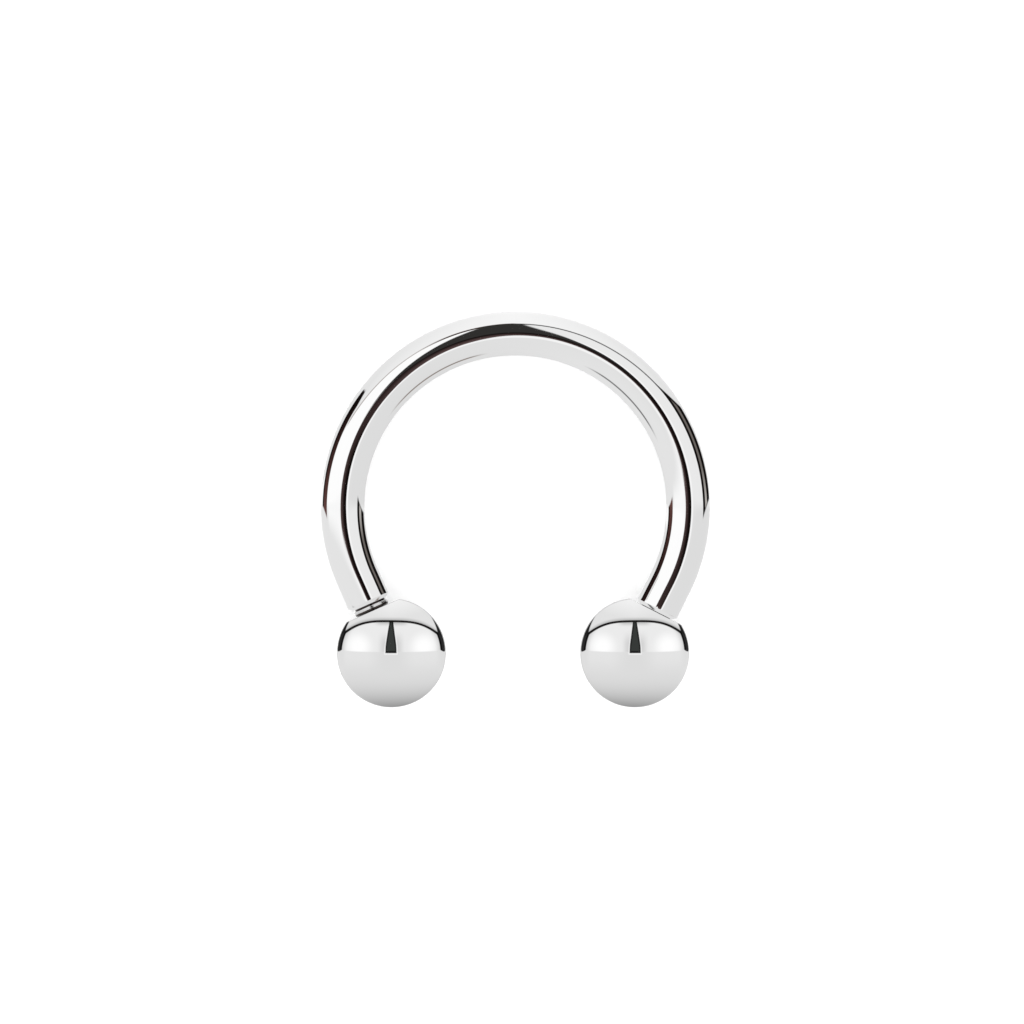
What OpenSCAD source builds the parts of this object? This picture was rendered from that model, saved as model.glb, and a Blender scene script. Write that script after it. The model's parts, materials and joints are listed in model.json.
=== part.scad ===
// Horseshoe barbell: a round bar bent to an open ring, with a screw-on ball at each end.
// It lies on its side, on its two balls and the crown of the ring, with the crown towards +Y.
// The origin is below the middle of its box, on the surface that it lies on. Sizes are in millimetres.

/* [Bar] */
// Diameter of the round bar
bar_d = 1.6; // [1.5:0.1:2]
// Inside diameter of the ring that the bar is bent to
ring_inner_d = 11.1; // [9.5:0.1:14]
// How far below the widest line of the ring each side stops curving, in degrees
end_angle = 25.4; // [20:0.1:30]
// Straight length from the end of the curve to the shoulder
straight_len = 1.1; // [1:0.05:2]
// Chamfer round the edge of the shoulder
shoulder_chamfer = 0.12; // [0.05:0.01:0.14]

/* [Collar] */
// Diameter of the turned collar that sits in the ball's seat
collar_d = 1.3; // [1.25:0.01:1.4]
// Length of the collar from the shoulder
collar_len = 0.28; // [0.22:0.01:0.35]
// Chamfer round the collar's free edge
collar_chamfer = 0.05; // [0.03:0.01:0.08]
// Diameter at the bottom of the narrow groove between shoulder and collar
groove_d = 1.18; // [1.1:0.01:1.2]
// Width of the narrow groove between shoulder and collar
groove_w = 0.08; // [0.03:0.01:0.1]

/* [Ball] */
// Diameter of each ball
ball_d = 4; // [3.5:0.1:6]
// Diameter of the rim of the dished seat
seat_d = 2.1; // [1.9:0.05:2.3]
// Depth of the dished seat below its rim
seat_depth = 0.4; // [0.35:0.01:0.45]

/* [Thread] */
// Pitch of the thread
pitch = 0.2; // [0.18:0.01:0.25]
// Diameter over the crests of the post's thread
post_d = 0.7; // [0.66:0.01:0.72]
// Diameter of the post between its threads, and of its shank in the ball
post_core_d = 0.54; // [0.5:0.01:0.58]
// Length of the post above the bottom of the seat
post_len = 1.2; // [1.1:0.05:1.3]
// Length of the plain shank that is fixed in the ball
shank_len = 1; // [0.6:0.1:1.4]
// Diameter of the hole inside its threads
hole_d = 0.74; // [0.74:0.01:0.78]
// Diameter at the bottom of the hole's thread
hole_root_d = 0.88; // [0.84:0.01:0.9]
// Full depth of the hole from the collar's face, without its drill point
hole_depth = 1.3; // [1.2:0.05:1.5]
// Diameter of the countersink at the mouth of the hole
countersink_d = 0.96; // [0.92:0.01:1]

/* [How far each ball is unscrewed] */
// Left ball, in millimetres from home
left_open = 0.26; // [0:0.02:1]
// Right ball, in millimetres from home
right_open = 0; // [0:0.02:1]

/* [Hidden] */
$fn = 64;

left = -1;
right = 1;
steel = [0.78, 0.78, 0.79];
threaded_steel = [0.62, 0.62, 0.64];

bar_r = bar_d / 2;
ball_r = ball_d / 2;
ring_r = (ring_inner_d + bar_d) / 2;

// Radial gap round a shank in its ball, and gap under the collar of a ball that is screwed home
shank_gap = 0.01;
home_gap = 0.02;
// How far a cutting tool starts outside what it cuts
reach = 0.3;
// Half the angle at the point of the drill that made each hole
drill_half_angle = 59;
// Chamfer on the free end of each post
tip_chamfer = 0.09;

// The thread: facets round one turn, widths of its ridge at root and crest, and the
// part of a turn over which it fades in at each end, from the least share of its height
thread_steps = 16;
ridge_root_w = 0.17;
ridge_crest_w = 0.05;
fade_turns = 0.4;
least_swell = 0.1;
// How deep a ridge reaches into the metal that carries it
bite = 0.02;
// Plain length before each thread begins
thread_start = 0.6 * pitch;

// The dished seat is part of a sphere. Heights are from the ball's centre towards the bar.
seat_r = seat_d / 2;
seat_curve_r = (seat_r * seat_r + seat_depth * seat_depth) / (2 * seat_depth);
rim_height = sqrt(ball_r * ball_r - seat_r * seat_r);
seat_floor = rim_height - seat_depth;
collar_edge_r = collar_d / 2 - collar_chamfer;
function seat_height(r) = seat_floor + seat_curve_r - sqrt(seat_curve_r * seat_curve_r - r * r);

// From the ball's centre to the bar's shoulder when the ball is screwed home
home = seat_height(collar_edge_r) + home_gap + collar_len;

// How far a ball is unscrewed, how far its centre is from the end of the curve, and where
// that centre is in the plane of the upright, level ring
function open_by(side) = side == left ? left_open : right_open;
function ball_distance(side) = straight_len + home + open_by(side);
function ball_x(side) = side * (ring_r * cos(end_angle) - ball_distance(side) * sin(end_angle));
function ball_y(side) = -ring_r * sin(end_angle) - ball_distance(side) * cos(end_angle);

// The ring leans a little, so that the line through both balls runs along X
lean = atan2(ball_y(right) - ball_y(left), ball_x(right) - ball_x(left));
balls_below = ball_x(right) * sin(lean) - ball_y(right) * cos(lean);

// It rests on the balls and on the crown of the thinner ring, so its plane is tilted about X
side_tilt = asin((ball_r - bar_r) / (ring_r + balls_below));
ring_z = ball_r - balls_below * sin(side_tilt);
ring_y = ((balls_below - ring_r) * cos(side_tilt) + ball_r - bar_r) / 2;

// Lays the upright ring, drawn in the XY plane round the origin, down on its side
module on_its_side() {
    translate([0, ring_y, ring_z])
        rotate([-side_tilt, 0, 0])
            rotate([0, 0, -lean])
                children();
}

// Moves to one end of the curve, with +Z along the straight end, away from the curve
module at_end(side) {
    rotate([0, side == left ? 180 : 0, 0])
        rotate([0, 0, -end_angle])
            translate([ring_r, 0, 0])
                rotate([90, 0, 0])
                    children();
}

// Moves to the centre of one ball, with +Z towards the bar
module at_ball(side) {
    at_end(side)
        translate([0, 0, ball_distance(side)])
            rotate([180, 0, 0])
                children();
}

// A ridge wound round Z from z = 0 up, from radius inner_r out to outer_r.
// Each section of the winding has four corners: two at the root and two at the crest.
module thread_ridge(turns, inner_r, outer_r) {
    last = round(turns * thread_steps);
    fade = fade_turns * thread_steps;
    corners = [for (i = [0:last])
        let (
            turn = 360 * i / thread_steps,
            z = pitch * i / thread_steps,
            swell = max(least_swell, min(1, i / fade, (last - i) / fade)),
            crest_r = inner_r + (outer_r - inner_r) * swell,
            section = [
                [inner_r, z - ridge_root_w / 2],
                [crest_r, z - ridge_crest_w / 2],
                [crest_r, z + ridge_crest_w / 2],
                [inner_r, z + ridge_root_w / 2]
            ]
        )
        for (p = section) [p[0] * cos(turn), p[0] * sin(turn), p[1]]];
    sides = [for (i = [0:last - 1], k = [0:3])
        let (a = 4 * i + k, b = 4 * i + (k + 1) % 4)
        for (triangle = [[a, b, b + 4], [a, b + 4, a + 4]]) triangle];
    ends = [[0, 3, 2, 1], [4 * last, 4 * last + 1, 4 * last + 2, 4 * last + 3]];
    polyhedron(points = corners, faces = concat(sides, ends), convexity = 8);
}

// One end of the bar: straight stretch, chamfered shoulder, groove and collar
module turned_end() {
    face = straight_len + collar_len;
    rotate_extrude()
        polygon([
            [0, 0],
            [bar_r, 0],
            [bar_r, straight_len - shoulder_chamfer],
            [bar_r - shoulder_chamfer, straight_len],
            [groove_d / 2, straight_len],
            [groove_d / 2, straight_len + groove_w],
            [collar_d / 2, straight_len + groove_w],
            [collar_d / 2, face - collar_chamfer],
            [collar_edge_r, face],
            [0, face]
        ]);
}

// What is cut out of one end of the bar: drilled hole, countersink and thread
module threaded_hole() {
    face = straight_len + collar_len;
    drill_point = hole_d / 2 / tan(drill_half_angle);
    sink = (countersink_d - hole_d) / 2;
    thread_turns = (hole_depth - thread_start) / pitch;
    rotate_extrude()
        polygon([
            [0, face - hole_depth - drill_point],
            [hole_d / 2, face - hole_depth],
            [hole_d / 2, face - sink],
            [countersink_d / 2 + reach, face + reach],
            [0, face + reach]
        ]);
    translate([0, 0, face - hole_depth + thread_start])
        thread_ridge(thread_turns, hole_d / 2 - bite, hole_root_d / 2);
}

module curved_bar() {
    color(steel)
        on_its_side()
            difference() {
                union() {
                    rotate_extrude(angle = 180 + 2 * end_angle, start = -end_angle)
                        translate([ring_r, 0])
                            circle(d = bar_d);
                    for (side = [left, right])
                        at_end(side) turned_end();
                }
                for (side = [left, right])
                    at_end(side) threaded_hole();
            }
}

// A ball with its seat towards +Z
module seated_ball() {
    difference() {
        sphere(ball_r);
        translate([0, 0, seat_floor + seat_curve_r])
            sphere(seat_curve_r);
        translate([0, 0, seat_floor - shank_len])
            cylinder(h = shank_len + reach, d = post_core_d + 2 * shank_gap);
    }
}

// A post in the ball's own place, with its shank at the bottom of the drilled hole
module threaded_post() {
    tip = seat_floor + post_len;
    thread_turns = (post_len - pitch - tip_chamfer) / pitch;
    rotate_extrude()
        polygon([
            [0, seat_floor - shank_len + shank_gap],
            [post_core_d / 2, seat_floor - shank_len + shank_gap],
            [post_core_d / 2, tip - tip_chamfer],
            [post_core_d / 2 - tip_chamfer, tip],
            [0, tip]
        ]);
    translate([0, 0, seat_floor + thread_start])
        thread_ridge(thread_turns, post_core_d / 2 - bite, post_d / 2);
}

module left_ball() {
    color(steel) on_its_side() at_ball(left) seated_ball();
}

module left_post() {
    color(threaded_steel) on_its_side() at_ball(left) threaded_post();
}

module right_ball() {
    color(steel) on_its_side() at_ball(right) seated_ball();
}

module right_post() {
    color(threaded_steel) on_its_side() at_ball(right) threaded_post();
}

curved_bar();
left_ball();
left_post();
right_ball();
right_post();
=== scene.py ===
import json
from functools import partial
from math import acos, asin, ceil, cos, hypot, pi, radians, sin, sqrt, tan

import bmesh
import bpy
from mathutils import Matrix, Vector


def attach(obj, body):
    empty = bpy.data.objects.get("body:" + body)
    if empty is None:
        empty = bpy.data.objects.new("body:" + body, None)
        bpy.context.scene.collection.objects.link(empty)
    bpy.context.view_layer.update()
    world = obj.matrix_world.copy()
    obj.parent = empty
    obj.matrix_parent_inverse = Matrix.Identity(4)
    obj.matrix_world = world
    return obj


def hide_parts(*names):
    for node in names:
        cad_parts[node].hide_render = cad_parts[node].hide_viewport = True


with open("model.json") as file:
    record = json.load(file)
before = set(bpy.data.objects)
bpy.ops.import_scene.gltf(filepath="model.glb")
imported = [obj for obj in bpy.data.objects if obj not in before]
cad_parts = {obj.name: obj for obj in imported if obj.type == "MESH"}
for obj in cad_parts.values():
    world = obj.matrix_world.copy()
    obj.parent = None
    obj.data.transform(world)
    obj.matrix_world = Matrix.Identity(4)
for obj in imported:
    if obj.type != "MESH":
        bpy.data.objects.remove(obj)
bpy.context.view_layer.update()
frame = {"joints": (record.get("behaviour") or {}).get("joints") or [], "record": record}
scene = bpy.context.scene
mm = 0.001


# Small helpers

def hexColour(code):
    # sRGB hex to linear RGBA
    def linear(value):
        value /= 255
        return value / 12.92 if value <= 0.04045 else ((value + 0.055) / 1.055) ** 2.4
    code = code.lstrip("#")
    return tuple(linear(int(code[i:i + 2], 16)) for i in (0, 2, 4)) + (1.0,)


def addNode(tree, kind, inputs=None, **settings):
    # adds one node, sets it up, and fills or links its inputs
    made = tree.nodes.new(kind)
    for name, value in settings.items():
        setattr(made, name, value)
    for key, value in (inputs or {}).items():
        if isinstance(value, bpy.types.NodeSocket):
            tree.links.new(value, made.inputs[key])
        else:
            made.inputs[key].default_value = value
    return made


def emptyMaterial(name):
    made = bpy.data.materials.new(name)
    made.use_nodes = True
    made.node_tree.nodes.clear()
    return made


def smoothStep(x):
    x = max(0.0, min(1.0, x))
    return x * x * (3 - 2 * x)


# Where everything is, worked out from the frame

ring = {
    "barDiameter": 1.6 * mm,
    "insideDiameter": 11.1 * mm,
    "straight": 1.1 * mm,          # from the end of the curve to the shoulder
    "plainShare": 0.8,             # of the straight, next to the curve
}
barRadius = ring["barDiameter"] / 2
ringRadius = (ring["insideDiameter"] + ring["barDiameter"]) / 2
plainLength = ring["straight"] * ring["plainShare"]

joints = {joint["child"]: joint for joint in frame["joints"]}
leftAxis = Vector(joints["left_end"]["axis"]).normalized()
rightAxis = Vector(joints["right_end"]["axis"]).normalized()
openBy = {body: -joint["range_m"][0] for body, joint in joints.items()}

ringUp = -(leftAxis + rightAxis).normalized()      # from the mouth to the crown
ringFace = leftAxis.cross(rightAxis).normalized()   # across the ring, away from the floor
if ringFace.z < 0:
    ringFace.negate()
ringRight = ringUp.cross(ringFace)
endAngle = acos(-leftAxis.dot(ringUp))
pictureRight = Vector((1, 0, 0))
pictureUp = ringFace.cross(pictureRight)

crown = Vector(frame["record"]["mounts"][0]["pos_m"])
ringCentre = crown - pictureUp * ringRadius


def ringDirection(angle):
    # from the centre of the ring, counted from its right-hand side towards the crown
    return ringRight * cos(angle) + ringUp * sin(angle)


ends = {
    "left_end": {"axis": leftAxis, "angle": pi + endAngle, "hand": -1},
    "right_end": {"axis": rightAxis, "angle": -endAngle, "hand": 1},
}
for end in ends.values():
    end["out"] = ringDirection(end["angle"])
    end["start"] = ringCentre + end["out"] * ringRadius


# Turned shapes. A profile is a list of (place along the axis, radius) from one pole to the other.

def softened(profile, size, steps=3, share=0.45):
    # rounds each corner by about that size, but uses up no more than that share of an edge
    points = [Vector(p) for p in profile]
    out = [points[0]]
    for before, here, after in zip(points, points[1:], points[2:]):
        cut = min(size, share * (here - before).length, share * (after - here).length)
        a = here + (before - here).normalized() * cut
        b = here + (after - here).normalized() * cut
        for i in range(steps + 1):
            t = i / steps
            out.append(a * (1 - t) ** 2 + here * 2 * t * (1 - t) + b * t * t)
    out.append(points[-1])
    return [(p.x, p.y) for p in out]


def runningLengths(profile):
    # how far each point is along the profile
    lengths = [0.0]
    for before, here in zip(profile, profile[1:]):
        lengths.append(lengths[-1] + hypot(here[0] - before[0], here[1] - before[1]))
    return lengths


def circlePoints(centre, first, second, radius, segments, swell=None):
    # one circle, or a single point for a pole. swell(turn) adds to the radius where a thread is.
    if not radius:
        return [centre.copy()]
    points = []
    for k in range(segments):
        turn = 2 * pi * k / segments
        r = radius + (swell(turn) if swell else 0)
        points.append(centre + (first * cos(turn) + second * sin(turn)) * r)
    return points


def ringMesh(name, rings, materials, sharpAngle=radians(32)):
    # skins circles into one closed mesh. Each ring is a circle's points, the material of the faces
    # between it and the next one, and how far along the profile it is.
    verts, starts, sizes = [], [], []
    for points, _, _ in rings:
        starts.append(len(verts))
        sizes.append(len(points))
        verts += points
    faces, slots, places = [], [], []
    for i in range(len(rings) - 1):
        a, b = starts[i], starts[i + 1]
        near, far = rings[i][2], rings[i + 1][2]
        segments = max(sizes[i], sizes[i + 1])
        slots += [materials.index(rings[i][1])] * segments
        for k in range(segments):
            k2 = (k + 1) % segments
            if sizes[i] == 1:
                face, place = (a, b + k2, b + k), ((k + 0.5, near), (k + 1, far), (k, far))
            elif sizes[i + 1] == 1:
                face, place = (a + k, a + k2, b), ((k, near), (k + 1, near), (k + 0.5, far))
            else:
                face = (a + k, a + k2, b + k2, b + k)
                place = ((k, near), (k + 1, near), (k + 1, far), (k, far))
            faces.append(face)
            places += [(x / segments, y / mm) for x, y in place]
    mesh = bpy.data.meshes.new(name)
    mesh.from_pydata(verts, [], faces)
    lengths = mesh.uv_layers.new(name="aroundAndAlong")
    lengths.data.foreach_set("uv", [value for place in places for value in place])
    for material in materials:
        mesh.materials.append(material)
    mesh.polygons.foreach_set("material_index", slots)
    mesh.polygons.foreach_set("use_smooth", [True] * len(faces))
    mesh.update()
    volume = sum(f.center.dot(f.normal) * f.area for f in mesh.polygons)
    if volume < 0:
        mesh.flip_normals()
    mesh.set_sharp_from_angle(angle=sharpAngle)
    made = bpy.data.objects.new(name, mesh)
    scene.collection.objects.link(made)
    return made


def threadHeight(phase, rootShare, crestShare):
    # height of a thread's ridge, 0 to 1, over one pitch, with those shares of it flat
    away = abs((phase % 1) - 0.5) * 2        # 0 on the crest, 1 between two crests
    return smoothStep((1 - away - rootShare) / (1 - rootShare - crestShare))


# Materials

noiseSpan = (0.3, 0.7)             # most values of a noise texture lie in it

paintedRecessShadeLook = {
    "colour": "#14100f",           # painted shade
    "samples": 8,
    "closed": 0.35,                # openness that still shows this colour
    "open": 0.65,                  # and openness that shows the bare metal
}


def paintedRecessShade(tree, colour, reach):
    # painted shade: narrow recesses are darkened where ambient occlusion finds them closed in, as
    # hardly any light gets back out of them
    openness = addNode(tree, "ShaderNodeAmbientOcclusion", {"Distance": reach},
                       samples=paintedRecessShadeLook["samples"])
    ramp = addNode(tree, "ShaderNodeMapRange", {
        "Value": openness.outputs["AO"], "From Min": paintedRecessShadeLook["closed"],
        "From Max": paintedRecessShadeLook["open"]}, interpolation_type="SMOOTHSTEP")
    return addNode(tree, "ShaderNodeMix", {
        0: ramp.outputs["Result"], 6: hexColour(paintedRecessShadeLook["colour"]), 7: hexColour(colour)},
        data_type="RGBA").outputs[2]


def finishSteel(tree, look, colour, roughness, relief):
    # bare metal with a very shallow relief
    bump = addNode(tree, "ShaderNodeBump", {
        "Height": relief.outputs["Fac"], "Strength": look["strength"], "Distance": look["depth"]})
    shader = addNode(tree, "ShaderNodeBsdfPrincipled", {
        "Base Color": colour, "Metallic": 1.0, "Roughness": roughness,
        "Normal": bump.outputs["Normal"]})
    addNode(tree, "ShaderNodeOutputMaterial", {"Surface": shader.outputs["BSDF"]})


polishLook = {
    "colour": "#d0d0d0",
    "roughness": 0.035,
    "leastShare": 0.7,             # of that roughness, where the buffing is finest
    "mostShare": 1.5,
    "hazeSize": 0.5 * mm,
    "waveSize": 1.4 * mm,
    "strength": 0.5,
    "depth": 0.0025 * mm,
}


def mirrorPolishedSteel():
    # 316L surgical steel, ground and buffed with fine compound: a clean mirror with a very slight
    # waviness left by the wheel, and hairlines that only show as a faint softness of its edges
    material = emptyMaterial("mirrorPolishedSteel")
    tree = material.node_tree
    place = addNode(tree, "ShaderNodeTexCoord").outputs["Object"]
    wheelWave = addNode(tree, "ShaderNodeTexNoise", {
        "Vector": place, "Scale": 1 / polishLook["waveSize"], "Detail": 1.0, "Roughness": 0.4})
    haze = addNode(tree, "ShaderNodeTexNoise", {
        "Vector": place, "Scale": 1 / polishLook["hazeSize"], "Detail": 3.0, "Roughness": 0.6})
    roughness = addNode(tree, "ShaderNodeMapRange", {
        "Value": haze.outputs["Fac"], "From Min": noiseSpan[0], "From Max": noiseSpan[1],
        "To Min": polishLook["roughness"] * polishLook["leastShare"],
        "To Max": polishLook["roughness"] * polishLook["mostShare"]})
    finishSteel(tree, polishLook, hexColour(polishLook["colour"]), roughness.outputs["Result"],
                wheelWave)
    return material


latheLook = {
    "colour": "#cccccc",
    "paintedShadeColour": "#4c4542",   # painted shade for the seat, the groove and the collar's free end
    "roughness": 0.2,
    "markWidth": 0.04 * mm,        # about twice the lathe's feed, so that the marks show
    "bandsPerUnit": 3.2,           # of Blender's wave texture at a scale of 1
    "strength": 0.35,
    "depth": 0.004 * mm,
    "recessReach": 0.9 * mm,
}


def turnedSteel(name, colour):
    # the same steel straight off the lathe: fine rings round the axis that spread the light
    material = emptyMaterial(name)
    tree = material.node_tree
    # this map is in millimetres along the profile
    along = addNode(tree, "ShaderNodeUVMap", uv_map="aroundAndAlong").outputs["UV"]
    marks = addNode(tree, "ShaderNodeTexWave", {
        "Vector": along, "Scale": mm / latheLook["markWidth"] / latheLook["bandsPerUnit"],
        "Distortion": 1.5, "Detail": 2.0, "Detail Scale": 4.0},
        wave_type="BANDS", bands_direction="Y")
    # painted shade darkens the colour in recesses
    shaded = paintedRecessShade(tree, colour, latheLook["recessReach"])
    finishSteel(tree, latheLook, shaded, latheLook["roughness"], marks)
    return material


threadLook = {
    "colour": "#c2c1c0",
    "leastRoughness": 0.16,
    "mostRoughness": 0.3,
    "markSize": 0.05 * mm,
    "strength": 0.3,
    "depth": 0.004 * mm,
    "recessReach": 0.4 * mm,
}


def threadedSteel():
    # the same steel with a cut thread: a little duller and darker, with fine marks all over
    material = emptyMaterial("threadedSteel")
    tree = material.node_tree
    place = addNode(tree, "ShaderNodeTexCoord").outputs["Object"]
    marks = addNode(tree, "ShaderNodeTexNoise", {
        "Vector": place, "Scale": 1 / threadLook["markSize"], "Detail": 4.0, "Roughness": 0.6})
    roughness = addNode(tree, "ShaderNodeMapRange", {
        "Value": marks.outputs["Fac"], "From Min": noiseSpan[0], "From Max": noiseSpan[1],
        "To Min": threadLook["leastRoughness"], "To Max": threadLook["mostRoughness"]})
    # painted shade darkens the colour in the thread's recesses
    shaded = paintedRecessShade(tree, threadLook["colour"], threadLook["recessReach"])
    finishSteel(tree, threadLook, shaded, roughness.outputs["Result"], marks)
    return material


polished, threaded = mirrorPolishedSteel(), threadedSteel()
turned = turnedSteel("turnedSteel", latheLook["colour"])
# painted shade: a dark copy of the turned steel on the seat, in the groove and on the collar's
# free edge, where shade falls
paintedShadeSteel = turnedSteel("turnedSteelPaintedShade", latheLook["paintedShadeColour"])
print("materials made")


# The curved bar, one closed skin from the bottom of one threaded hole to the other

barEnd = {
    "shoulderChamfer": 0.12 * mm,
    "grooveRadius": 0.59 * mm,
    "grooveWidth": 0.08 * mm,
    "collarRadius": 0.65 * mm,
    "collarLength": 0.28 * mm,
    "collarChamfer": 0.05 * mm,
    "paintedShadeLength": 0.1 * mm,     # of the collar's free end, which gets painted shade
    "wheelGap": 0.02 * mm,         # unpolished, round the collar on the shoulder
    "holeRadius": 0.37 * mm,
    "holeRootRadius": 0.44 * mm,
    "holeDepth": 1.3 * mm,
    "sinkRadius": 0.48 * mm,
    "sinkLead": 0.05 * mm,         # plain length before the countersink
    "drillHalfAngle": radians(59),
    "rootShare": 0.1,
    "crestShare": 0.1,
    "edgeBreak": 0.012 * mm,       # the soft edge that tumbling leaves
    "segments": 96,
    "arcSteps": 200,
}
barFace = ring["straight"] + barEnd["collarLength"]     # from the end of the curve
holeBottom = barFace - barEnd["holeDepth"]
pitch = 0.2 * mm
threadRingsPerPitch = 12


def barProfile():
    # from the drill point out to the curve: the hole's bottom, its threaded wall, and the rest
    hole, sink, collar = barEnd["holeRadius"], barEnd["sinkRadius"], barEnd["collarRadius"]
    chamfer, shoulder = barEnd["collarChamfer"], barEnd["shoulderChamfer"]
    straight, grooveEnd = ring["straight"], ring["straight"] + barEnd["grooveWidth"]
    bottom = [(holeBottom - hole / tan(barEnd["drillHalfAngle"]), 0), (holeBottom, hole)]
    steps = ceil(barEnd["holeDepth"] / pitch * threadRingsPerPitch)
    mouth = barFace - (sink - hole)
    wall = [(holeBottom + (mouth - holeBottom) * i / steps, hole) for i in range(1, steps)]
    outside = softened([
        (mouth - barEnd["sinkLead"], hole), (mouth, hole), (barFace, sink),
        (barFace, collar - chamfer), (barFace - chamfer, collar),
        (barFace - barEnd["paintedShadeLength"], collar), (grooveEnd, collar),
        (grooveEnd, barEnd["grooveRadius"]), (straight, barEnd["grooveRadius"]),
        (straight, barRadius - shoulder), (straight - shoulder, barRadius),
        (plainLength, barRadius)], barEnd["edgeBreak"])
    return bottom, wall, outside


def barSurface(along, radius):
    # polished up to the edge of the shoulder, painted shade in the groove and on the collar's free
    # end, else turned
    collar, groove, edge = barEnd["collarRadius"], barEnd["grooveRadius"], barEnd["edgeBreak"]
    freeEnd = barFace - barEnd["paintedShadeLength"]
    if along <= ring["straight"] and radius > collar + barEnd["wheelGap"]:
        return polished
    inGroove = along < freeEnd and groove - edge < radius < collar - edge / 3
    onFreeEnd = along > freeEnd and radius > groove
    return paintedShadeSteel if inGroove or onFreeEnd else turned


def holeSwell(along, hand, turn):
    # how much deeper than the plain hole the thread is there. It fades out at both ends.
    fade = smoothStep((barFace - along) / pitch) * smoothStep((along - holeBottom) / pitch)
    height = threadHeight(along / pitch - hand * turn / (2 * pi),
                          barEnd["rootShare"], barEnd["crestShare"])
    return (barEnd["holeRootRadius"] - barEnd["holeRadius"]) * fade * height


def barHalf(end):
    # the rings of one end, from the drill point out, and the length of its profile
    bottom, wall, outside = barProfile()
    profile = bottom + wall + outside
    lengths = runningLengths(profile)
    rings = []
    for (along, radius), length in zip(profile, lengths):
        grow = partial(holeSwell, along, end["hand"]) if (along, radius) in wall else None
        points = circlePoints(end["start"] + end["axis"] * along, end["out"], ringFace, radius,
                              barEnd["segments"], grow)
        rings.append((points, barSurface(along, radius), length))
    return rings, lengths[-1]


def makeBar():
    left, leftLength = barHalf(ends["left_end"])
    right, rightLength = barHalf(ends["right_end"])
    arc = []
    sweep = pi + 2 * endAngle
    for i in range(barEnd["arcSteps"] + 1):
        share = i / barEnd["arcSteps"]
        out = ringDirection(pi + endAngle - sweep * share)
        points = circlePoints(ringCentre + out * ringRadius, out, ringFace, barRadius,
                              barEnd["segments"])
        arc.append((points, polished, leftLength + plainLength + sweep * ringRadius * share))
    total = arc[-1][2] + plainLength + rightLength
    back = [(points, material, total - length) for points, material, length in reversed(right)]
    # faces take the material of the ring before them, so on the way out materials move on by one
    for i in range(len(back) - 1):
        back[i] = (back[i][0], back[i + 1][1], back[i][2])
    bar = ringMesh("curvedBar", left + arc + back, [polished, turned, paintedShadeSteel])
    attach(bar, "bar")
    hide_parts("curved_bar")
    return bar


bar = makeBar()
print("bar made")


# The balls, each with a dished seat and the hole that holds its post

ball = {
    "radius": 2.0 * mm,
    "seatRadius": 1.05 * mm,
    "seatDepth": 0.4 * mm,
    "shankRadius": 0.28 * mm,
    "shankDepth": 1.0 * mm,
    "homeGap": 0.02 * mm,          # under the collar of a ball that is screwed home
    "rimBreak": 0.02 * mm,
    "rimSteps": 4,
    "segments": 160,
    "outsideSteps": 110,
    "seatSteps": 14,
}
seatCurve = (ball["seatRadius"] ** 2 + ball["seatDepth"] ** 2) / (2 * ball["seatDepth"])
rimHeight = sqrt(ball["radius"] ** 2 - ball["seatRadius"] ** 2)
seatFloor = rimHeight - ball["seatDepth"]


def seatHeight(radius):
    # from the ball's centre towards the bar
    return seatFloor + seatCurve - sqrt(seatCurve ** 2 - radius ** 2)


collarEdge = barEnd["collarRadius"] - barEnd["collarChamfer"]
home = seatHeight(collarEdge) + ball["homeGap"] + barEnd["collarLength"]
for name, end in ends.items():
    end["ball"] = end["start"] + end["axis"] * (ring["straight"] + home + openBy[name])


def turnedPiece(name, end, profile, segments, materials, swell=None):
    # a profile of (height, radius, material) turned round the axis of that end of the bar. Heights
    # are from the ball's centre towards the bar.
    towards = -end["axis"]
    across = towards.cross(ringFace)
    rings = []
    for (height, radius, material), length in zip(profile, runningLengths(profile)):
        grow = partial(swell, height) if swell else None
        points = circlePoints(end["ball"] + towards * height, ringFace, across, radius, segments,
                              grow)
        rings.append((points, material, length))
    return ringMesh(name, rings, materials)


def ballProfile():
    radius, seat, steps = ball["radius"], ball["seatRadius"], ball["outsideSteps"]
    rimAngle, rimSteps = asin(seat / radius), ball["rimSteps"]
    outside = []
    for i in range(steps + 1):
        angle = pi - (pi - rimAngle) * i / steps
        outside.append((radius * cos(angle), radius * sin(angle) if i else 0))
    dish = []
    for i in range(1, ball["seatSteps"] + 1):
        r = seat + (ball["shankRadius"] - seat) * i / ball["seatSteps"]
        dish.append((seatHeight(r), r))
    floor = seatFloor - ball["shankDepth"]
    hole = [(floor, ball["shankRadius"]), (floor, 0)]
    rim = softened([outside[-2], outside[-1], dish[0]], ball["rimBreak"], rimSteps)
    buffed = [(h, r, polished) for h, r in outside[:-2] + rim[:rimSteps]]
    # the inner half of the rim, the dish and the hole get the painted shade
    return buffed + [(h, r, paintedShadeSteel) for h, r in rim[rimSteps:] + dish[1:] + hole]


def makeBall(name, body, node):
    made = turnedPiece(name, ends[body], ballProfile(), ball["segments"], [polished, paintedShadeSteel])
    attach(made, body)
    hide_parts(node)
    return made


leftBall = makeBall("leftBall", "left_end", "left_ball")
rightBall = makeBall("rightBall", "right_end", "right_ball")
print("balls made")


# The threaded posts

post = {
    "coreRadius": 0.27 * mm,
    "crestRadius": 0.35 * mm,
    "length": 1.2 * mm,            # above the bottom of the seat
    "shankGap": 0.01 * mm,
    "tipChamfer": 0.09 * mm,
    "tipBreak": 0.03 * mm,
    "threadStart": 0.3 * pitch,    # above the bottom of the seat
    "threadFade": 0.5 * pitch,
    "rootShare": 0.12,
    "crestShare": 0.2,
    "segments": 64,
}


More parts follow.
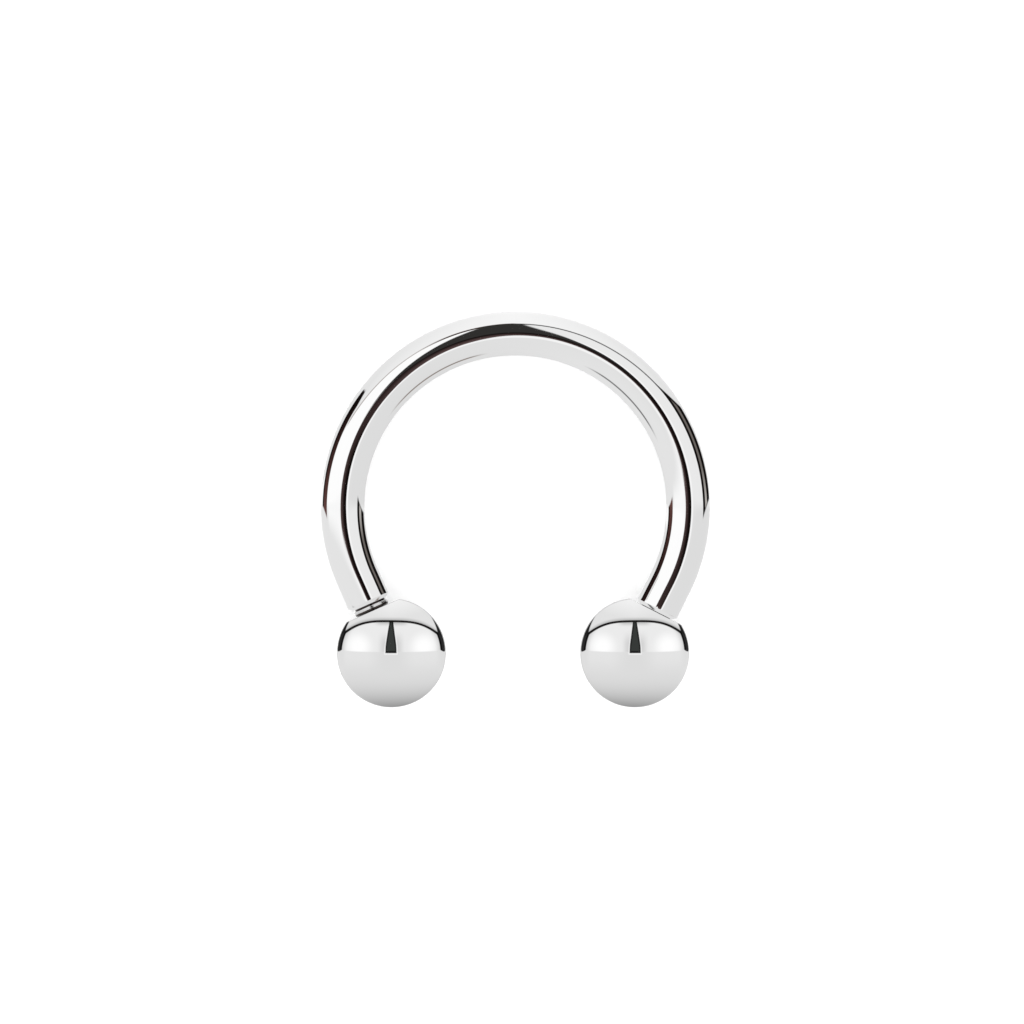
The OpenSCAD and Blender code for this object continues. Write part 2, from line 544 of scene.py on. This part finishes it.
def postProfile():
    core, chamfer = post["coreRadius"], post["tipChamfer"]
    low = seatFloor - ball["shankDepth"] + post["shankGap"]
    tip = seatFloor + post["length"]
    steps = ceil(post["length"] / pitch * threadRingsPerPitch)
    screwed = [(seatFloor + (post["length"] - chamfer) * i / steps, core) for i in range(steps)]
    end = softened([screwed[-1], (tip - chamfer, core), (tip, core - chamfer), (tip, 0)],
                   post["tipBreak"])
    return [(h, r, threaded) for h, r in [(low, 0), (low, core)] + screwed + end[1:]]


def postSwell(height, turn):
    # how far the ridge of the thread stands out there. It fades out at both ends.
    up = height - seatFloor
    fade = smoothStep((up - post["threadStart"]) / post["threadFade"]) * smoothStep(
        (post["length"] - post["tipChamfer"] - up) / post["threadFade"])
    ridge = threadHeight(height / pitch - turn / (2 * pi), post["rootShare"], post["crestShare"])
    return (post["crestRadius"] - post["coreRadius"]) * fade * ridge


def makePost(name, body, node):
    made = turnedPiece(name, ends[body], postProfile(), post["segments"], [threaded], postSwell)
    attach(made, body)
    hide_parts(node)
    return made


leftPost = makePost("leftPost", "left_end", "left_post")
rightPost = makePost("rightPost", "right_end", "right_post")
print("posts made")


# Camera, square to the plane of the ring as in the photo

cameraSet = {
    "scale": 27.2 / mm,            # pixels to the metre in the plane of the ring
    "ringCentrePixel": (515.4, 506.4),
    "picture": 1024,
    "lens": 200,
    "sensor": 36,
    "clipStart": 1 * mm,
}
cameraData = bpy.data.cameras.new("camera")
cameraData.lens = cameraSet["lens"]
cameraData.sensor_width = cameraSet["sensor"]
cameraData.clip_start = cameraSet["clipStart"]
camera = bpy.data.objects.new("camera", cameraData)
scene.collection.objects.link(camera)
pictureWidth = cameraSet["picture"] / cameraSet["scale"]
distance = pictureWidth * cameraSet["lens"] / cameraSet["sensor"]
right = (cameraSet["picture"] / 2 - cameraSet["ringCentrePixel"][0]) / cameraSet["scale"]
up = (cameraSet["ringCentrePixel"][1] - cameraSet["picture"] / 2) / cameraSet["scale"]
target = ringCentre + pictureRight * right + pictureUp * up
cameraPlace = Matrix((pictureRight, pictureUp, ringFace)).transposed().to_4x4()
cameraPlace.translation = target + ringFace * distance
camera.matrix_world = cameraPlace
scene.camera = camera
print("camera placed", [round(x / mm, 2) for x in camera.location])


# Floor and daylight

floorSet = {
    "half": 0.6,
    "colour": "#f4f4f4",
    "roughness": 0.9,
    "daylight": 1.75,
    "daylightColour": "#ffffff",
}


def makeFloor():
    material = emptyMaterial("matWhiteFloor")
    tree = material.node_tree
    shader = addNode(tree, "ShaderNodeBsdfPrincipled", {
        "Base Color": hexColour(floorSet["colour"]), "Roughness": floorSet["roughness"],
        "Specular IOR Level": 0.0})
    addNode(tree, "ShaderNodeOutputMaterial", {"Surface": shader.outputs["BSDF"]})
    half = floorSet["half"]
    mesh = bpy.data.meshes.new("floor")
    mesh.from_pydata([(-half, -half, 0), (half, -half, 0), (half, half, 0), (-half, half, 0)],
                     [], [(0, 1, 2, 3)])
    mesh.materials.append(material)
    floor = bpy.data.objects.new("floor", mesh)
    scene.collection.objects.link(floor)
    floor.visible_glossy = False


def makeDaylight():
    # even white light on the floor, left out of the steel, which mirrors the studios instead
    world = bpy.data.worlds.new("daylight")
    scene.world = world
    world.use_nodes = True
    tree = world.node_tree
    tree.nodes.clear()
    mirrored = addNode(tree, "ShaderNodeLightPath").outputs["Is Glossy Ray"]
    strength = addNode(tree, "ShaderNodeMapRange", {
        "Value": mirrored, "To Min": floorSet["daylight"], "To Max": 0.0})
    background = addNode(tree, "ShaderNodeBackground", {
        "Color": hexColour(floorSet["daylightColour"]),
        "Strength": strength.outputs["Result"]})
    addNode(tree, "ShaderNodeOutputWorld", {"Surface": background.outputs["Background"]})


makeFloor()
makeDaylight()


# What the steel mirrors: soft boxes, a table and flags, set up once for the balls and once for the
# bar. They are drawn on a large sphere, on which across and up are the places where a mirror ball
# in front of the main camera shows them, from -1 to 1. Side is across without its sign, and out is
# the distance from the middle. A card covers what passes all its edges, and its tone is the grey
# that the steel shows there. Later cards lie over earlier ones.

sphereSubdivisions = 3
cardSoftness = 0.008           # half the width of an edge that names no softness of its own
ballStudio = {
    "radius": 1.0,
    "table": "#dcdcdc",
    "cards": {
        "tableFar": {"tone": "#dcdcdc", "toTone": "#8f8f8f",
                     "ramp": {"up": -1, "start": 0.3, "end": 1.0, "ease": 2.4}},
        "tableSides": {"tone": "#e4e4e4", "edges": [
            {"side": 1, "past": 0.28, "soft": 0.2}, {"up": 1, "past": -0.25, "soft": 0.2}]},
        "tableEnds": {"tone": "#dedede", "edges": [
            {"side": 1, "past": 0.86, "soft": 0.06}, {"up": 1, "past": -0.4, "soft": 0.1}]},
        "boxes": {"tone": "#ebebeb", "edges": [{"up": 1, "past": 0.027}]},
        "boxEnds": {"tone": "#cbcbcb", "edges": [
            {"up": 1, "past": 0.027}, {"out": 1, "past": 0.86, "soft": 0.07}]},
        "leftLamp": {"tone": "#ffffff", "edges": [
            {"up": 1, "past": 0.027},
            {"from": (-0.6, 0.12), "away": -1, "past": -0.2, "soft": 0.14}]},
        "rightLamp": {"tone": "#ffffff", "edges": [
            {"up": 1, "past": 0.027},
            {"from": (0.6, 0.12), "away": -1, "past": -0.2, "soft": 0.14}]},
        "boxShade": {"tone": "#d2d2d2", "edges": [
            {"up": 1, "past": 0.027}, {"side": -1, "past": -0.19, "soft": 0.08},
            {"up": -1, "past": -0.3, "soft": 0.15}]},
        "boxTop": {"tone": "#c0c0c0", "edges": [
            {"up": 1, "past": 0.53, "soft": 0.05}, {"side": -1, "past": -0.27, "soft": 0.09}]},
        "gapTrim": {"tone": "#f0f0f0", "edges": [
            {"up": 1, "past": -0.022}, {"side": -1, "up": -0.03, "past": -0.123},
            {"side": -1, "up": -0.145, "past": -0.138}, {"up": -1, "past": -0.53}]},
        "gapEdge": {"tone": "#1c1d1c", "edges": [
            {"up": 1, "past": 0.006}, {"side": -1, "up": -0.03, "past": -0.103},
            {"side": -1, "up": -0.145, "past": -0.12}]},
        "gap": {"tone": "#373a38", "edges": [
            {"up": 1, "past": 0.045}, {"side": -1, "up": -0.03, "past": -0.078},
            {"side": -1, "up": -0.145, "past": -0.092}]},
        "ceiling": {"tone": "#e2e2e2", "toTone": "#f4f4f4", "edges": [
            {"up": 1, "bow": 0.395, "past": 0.596}],
            "ramp": {"up": 1, "side": -0.25, "start": 0.6, "end": 1.0}},
        "ceilingShade": {"tone": "#bebebe", "edges": [
            {"up": 1, "bow": 0.395, "past": 0.596},
            {"up": -1, "bow": -0.395, "past": -0.642, "soft": 0.035}]},
        "arch": {"tone": "#151413", "edges": [
            {"up": 1, "bow": 0.41, "past": 0.57}, {"up": -1, "bow": -0.385, "past": -0.61}]},
        "lowFlags": {"tone": "#2a2a2a", "edges": [
            {"up": 1, "out": 1, "past": 0.94}, {"out": 1, "past": 0.907},
            {"up": -1, "bow": -0.395, "past": -0.6}]},
        "highFlags": {"tone": "#202020", "edges": [
            {"out": 1, "up": -0.193, "past": 0.863}, {"up": 1, "bow": 0.395, "past": 0.592}]},
        "flagRims": {"tone": "#0c0c0c", "edges": [
            {"up": 1, "out": 1, "past": 0.94}, {"out": 1, "past": 0.907},
            {"out": -1, "past": -0.937}, {"up": -1, "bow": -0.395, "past": -0.6}]},
        "floorBelow": {"tone": "#c8c8c8", "edges": [{"out": 1, "past": 0.99, "soft": 0.008}]},
    },
    "bowPower": 3.1,
}
barStudio = {
    "radius": 0.16,
    "table": "#dcdcdc",
    "cards": {
        "tableEven": {"tone": "#e3e3e3", "toTone": "#dcdcdc",
                      "ramp": {"across": 1, "start": -0.4, "end": 0.4}},
        "tableShine": {"tone": "#fafafa", "edges": [
            {"across": -1, "past": 0.1, "soft": 0.08}, {"up": 1, "past": -0.055, "soft": 0.055},
            {"out": -1, "past": -0.66, "soft": 0.05}]},
        "tableSeamLeft": {"tone": "#707070", "edges": [
            {"out": 1, "past": 0.708, "soft": 0.015}, {"out": -1, "past": -0.768, "soft": 0.015},
            {"across": -1, "past": 0.37, "soft": 0.05}, {"up": -1, "past": 0.36, "soft": 0.06}]},
        "tableSeamRight": {"tone": "#8a807a", "edges": [
            {"out": 1, "past": 0.774, "soft": 0.012}, {"out": -1, "past": -0.826, "soft": 0.012},
            {"across": 1, "past": 0.19, "soft": 0.06}, {"up": -1, "past": 0.52, "soft": 0.06}]},
        "rightBox": {"tone": "#e9e9e9", "edges": [{"up": 1, "past": 0.0, "soft": 0.02}]},
        "leftBox": {"tone": "#fdfdfd", "edges": [
            {"up": 1, "past": 0.0, "soft": 0.02}, {"across": -1, "past": 0.0}]},
        "ceilingRight": {"tone": "#f6f6f6", "toTone": "#e3e3e3", "edges": [
            {"up": 1, "across": -0.16, "bow": 0.53, "past": 0.4375}, {"across": 1, "past": 0.0}],
            "ramp": {"side": 1, "start": 0.0, "end": 0.6}},
        "ceilingLeft": {"tone": "#f6f6f6", "toTone": "#e3e3e3", "edges": [
            {"up": 1, "across": -0.22, "bow": 0.13, "past": 0.446}, {"across": -1, "past": 0.0}],
            "ramp": {"side": 1, "start": 0.0, "end": 0.6}},
        "archRight": {"tone": "#565656", "edges": [
            {"up": 1, "across": -0.16, "bow": 0.53, "past": 0.416},
            {"up": -1, "across": 0.16, "bow": -0.53, "past": -0.459},
            {"across": 1, "past": 0.0}, {"across": -1, "past": -0.56}]},
        "archLeft": {"tone": "#aca6a2", "edges": [
            {"up": 1, "across": -0.22, "bow": 0.13, "past": 0.43},
            {"up": -1, "across": 0.22, "bow": -0.13, "past": -0.462},
            {"across": -1, "past": 0.0}, {"across": 1, "past": -0.56}]},
        "archJoin": {"tone": "#3c2b25", "edges": [
            {"up": 1, "across": -0.22, "bow": 0.13, "past": 0.41},
            {"up": -1, "across": 0.22, "bow": -0.13, "past": -0.47},
            {"across": -1, "past": 0.0}, {"across": 1, "past": -0.195, "soft": 0.05}]},
        "gapTrim": {"tone": "#f6f6f6", "edges": [
            {"from": (0.06, -0.01), "away": -1, "past": -0.175, "soft": 0.015}]},
        "gapLow": {"tone": "#120c0b", "toTone": "#564544", "edges": [
            {"from": (0.0, -0.025), "away": -1, "past": -0.157}, {"up": 1, "past": -0.122},
            {"across": 1, "up": -0.5, "past": -0.106},
            {"across": 1, "up": 0.8, "past": -0.135}],
            "ramp": {"up": -1, "across": -0.6, "start": -0.03, "end": 0.07}},
        "tableCorner": {"tone": "#f4f4f4", "edges": [
            {"up": -1, "past": 0.017}, {"across": -1, "up": -0.6, "past": 0.048},
            {"from": (0.06, -0.01), "away": -1, "past": -0.175, "soft": 0.015}]},
        "gapHigh": {"tone": "#302f2e", "edges": [
            {"up": 1, "past": 0.06, "soft": 0.02}, {"across": 1, "up": 0.2, "past": -0.088},
            {"across": 1, "past": -0.116}, {"across": 1, "up": -0.17, "past": -0.152},
            {"across": -1, "up": -0.11, "past": -0.068},
            {"up": -1, "across": 0.22, "bow": -0.13, "past": -0.45}]},
        "rightFlag": {"tone": "#0e0b0a", "edges": [
            {"up": 1, "out": -0.3, "past": -0.25}, {"across": 1, "past": 0.0},
            {"from": (0.0, -0.12), "away": 1, "past": 0.688},
            {"from": (0.0, -0.12), "away": -1, "past": -0.976},
            {"across": 0.2, "up": -1, "past": -0.315}]},
        "rightFlagFace": {"tone": "#6a6561", "toTone": "#b0aca8", "edges": [
            {"up": 1, "out": -0.3, "past": -0.24}, {"across": 1, "past": 0.0},
            {"from": (0.0, -0.12), "away": 1, "past": 0.782},
            {"from": (0.0, -0.12), "away": -1, "past": -0.866},
            {"across": 0.2, "up": -1, "past": -0.285}],
            "ramp": {"up": -1, "start": -0.17, "end": -0.03}},
        "leftFlag": {"tone": "#5e403c", "toTone": "#120c0b", "edges": [
            {"up": 1, "out": -0.27, "past": -0.24},
            {"from": (0.0, -0.1), "away": 1, "past": 0.722},
            {"from": (0.0, -0.1), "away": -1, "past": -0.914},
            {"across": -1, "up": -0.25, "past": 0.47},
            {"across": -0.609, "up": -0.793, "past": 0.0}],
            "ramp": {"up": 1, "start": 0.0, "end": 0.4, "ease": 0.6}},
        "leftFlagRim": {"tone": "#100c0b", "edges": [
            {"up": 1, "past": 0.0}, {"from": (0.0, -0.1), "away": 1, "past": 0.865},
            {"from": (0.0, -0.1), "away": -1, "past": -0.914},
            {"across": -0.609, "up": -0.793, "past": 0.0}]},
    },
    "bowPower": 2,
}


def placeSum(tree, places, terms):
    # adds up the named places, each times its weight, and the weighted distance from a spot
    total = 0.0
    for name, weight in terms.items():
        if name in places:
            total = addNode(tree, "ShaderNodeMath", {0: places[name], 1: weight, 2: total},
                            operation="MULTIPLY_ADD").outputs[0]
    if "from" in terms:
        away = addNode(tree, "ShaderNodeVectorMath", {
            0: places["spot"], 1: (*terms["from"], 0)}, operation="DISTANCE").outputs["Value"]
        total = addNode(tree, "ShaderNodeMath", {0: away, 1: terms["away"], 2: total},
                        operation="MULTIPLY_ADD").outputs[0]
    return total


def addCard(tree, places, below, card):
    # lays one card over what is below it
    cover = 1.0
    for edge in card.get("edges", []):
        soft = edge.get("soft", cardSoftness)
        inside = addNode(tree, "ShaderNodeMapRange", {
            "Value": placeSum(tree, places, edge), "From Min": edge["past"] - soft,
            "From Max": edge["past"] + soft}, interpolation_type="SMOOTHSTEP").outputs["Result"]
        cover = addNode(tree, "ShaderNodeMath", {0: inside, 1: cover},
                        operation="MULTIPLY").outputs[0]
    tone = hexColour(card["tone"])
    if "ramp" in card:
        ramp = card["ramp"]
        share = addNode(tree, "ShaderNodeMapRange", {
            "Value": placeSum(tree, places, ramp), "From Min": ramp["start"],
            "From Max": ramp["end"]}).outputs["Result"]
        eased = addNode(tree, "ShaderNodeMath", {0: share, 1: ramp.get("ease", 1)},
                        operation="POWER").outputs[0]
        tone = addNode(tree, "ShaderNodeMix", {0: eased, 6: tone, 7: hexColour(card["toTone"])},
                       data_type="RGBA").outputs[2]
    return addNode(tree, "ShaderNodeMix", {0: cover, 6: below, 7: tone},
                   data_type="RGBA").outputs[2]


def mirrorPlaces(tree, bowPower):
    # where a mirror ball in front of the main camera shows each direction
    direction = addNode(tree, "ShaderNodeVectorMath", {
        0: addNode(tree, "ShaderNodeTexCoord").outputs["Object"]},
        operation="NORMALIZE").outputs["Vector"]
    x, y, z = [addNode(tree, "ShaderNodeVectorMath", {0: direction, 1: axis},
                       operation="DOT_PRODUCT").outputs["Value"]
               for axis in (pictureRight, pictureUp, ringFace)]
    # the ball's slope there is half the turn between the direction and the camera
    square = addNode(tree, "ShaderNodeMath", {0: z, 1: 2.0, 2: 2.0}, operation="MULTIPLY_ADD")
    twice = addNode(tree, "ShaderNodeMath", {0: square.outputs[0], 1: 0.5}, operation="POWER")
    places = {}
    for name, value in (("across", x), ("up", y)):
        places[name] = addNode(tree, "ShaderNodeMath", {0: value, 1: twice.outputs[0]},
                               operation="DIVIDE").outputs[0]
    places["side"] = addNode(tree, "ShaderNodeMath", {0: places["across"]},
                             operation="ABSOLUTE").outputs[0]
    places["bow"] = addNode(tree, "ShaderNodeMath", {0: places["side"], 1: bowPower},
                            operation="POWER").outputs[0]
    places["spot"] = addNode(tree, "ShaderNodeCombineXYZ", {
        "X": places["across"], "Y": places["up"]}).outputs["Vector"]
    places["out"] = addNode(tree, "ShaderNodeVectorMath", {0: places["spot"]},
                            operation="LENGTH").outputs["Value"]
    places["facing"] = addNode(tree, "ShaderNodeMath", {0: twice.outputs[0], 1: 0.5},
                               operation="MULTIPLY").outputs[0]
    return places


def studioStrength(tree, places):
    # steel mirrors more of the light where it is seen edge on, so that light is weaker
    tilt = addNode(tree, "ShaderNodeMath", {0: 1.0, 1: places["facing"]}, operation="SUBTRACT")
    edgeOn = addNode(tree, "ShaderNodeMath", {0: tilt.outputs[0], 1: 5.0}, operation="POWER")
    mirrored = addNode(tree, "ShaderNodeMapRange", {
        "Value": edgeOn.outputs[0], "To Min": hexColour(polishLook["colour"])[1]})
    return addNode(tree, "ShaderNodeMath", {0: 1.0, 1: mirrored.outputs["Result"]},
                   operation="DIVIDE").outputs[0]


def makeStudio(name, studio, pieces):
    # a sphere of light that only these pieces see, and only as a reflection
    material = emptyMaterial(name)
    tree = material.node_tree
    places = mirrorPlaces(tree, studio["bowPower"])
    tone = hexColour(studio["table"])
    for card in studio["cards"].values():
        tone = addCard(tree, places, tone, card)
    light = addNode(tree, "ShaderNodeEmission", {
        "Color": tone, "Strength": studioStrength(tree, places)})
    clear = addNode(tree, "ShaderNodeBsdfTransparent")
    both = addNode(tree, "ShaderNodeAddShader", {
        0: light.outputs["Emission"], 1: clear.outputs["BSDF"]})
    addNode(tree, "ShaderNodeOutputMaterial", {"Surface": both.outputs["Shader"]})
    material.cycles.emission_sampling = "NONE"

    shape = bmesh.new()
    bmesh.ops.create_icosphere(shape, subdivisions=sphereSubdivisions, radius=studio["radius"])
    mesh = bpy.data.meshes.new(name)
    shape.to_mesh(mesh)
    shape.free()
    mesh.materials.append(material)
    sphere = bpy.data.objects.new(name, mesh)
    sphere.location = ringCentre
    scene.collection.objects.link(sphere)
    sphere.visible_camera = False
    sphere.visible_diffuse = False
    sphere.visible_shadow = False
    sphere.visible_transmission = False
    seenBy = bpy.data.collections.new(name + "SeenBy")
    for piece in pieces:
        seenBy.objects.link(piece)
    sphere.light_linking.receiver_collection = seenBy


pieces = [bar, leftBall, rightBall, leftPost, rightPost]
makeStudio("ballStudio", ballStudio, [leftBall, rightBall])
makeStudio("barStudio", barStudio, [bar, leftPost, rightPost])
for piece in pieces:
    piece.visible_glossy = False
scene.view_settings.view_transform = "Standard"
print("floor and studios made")
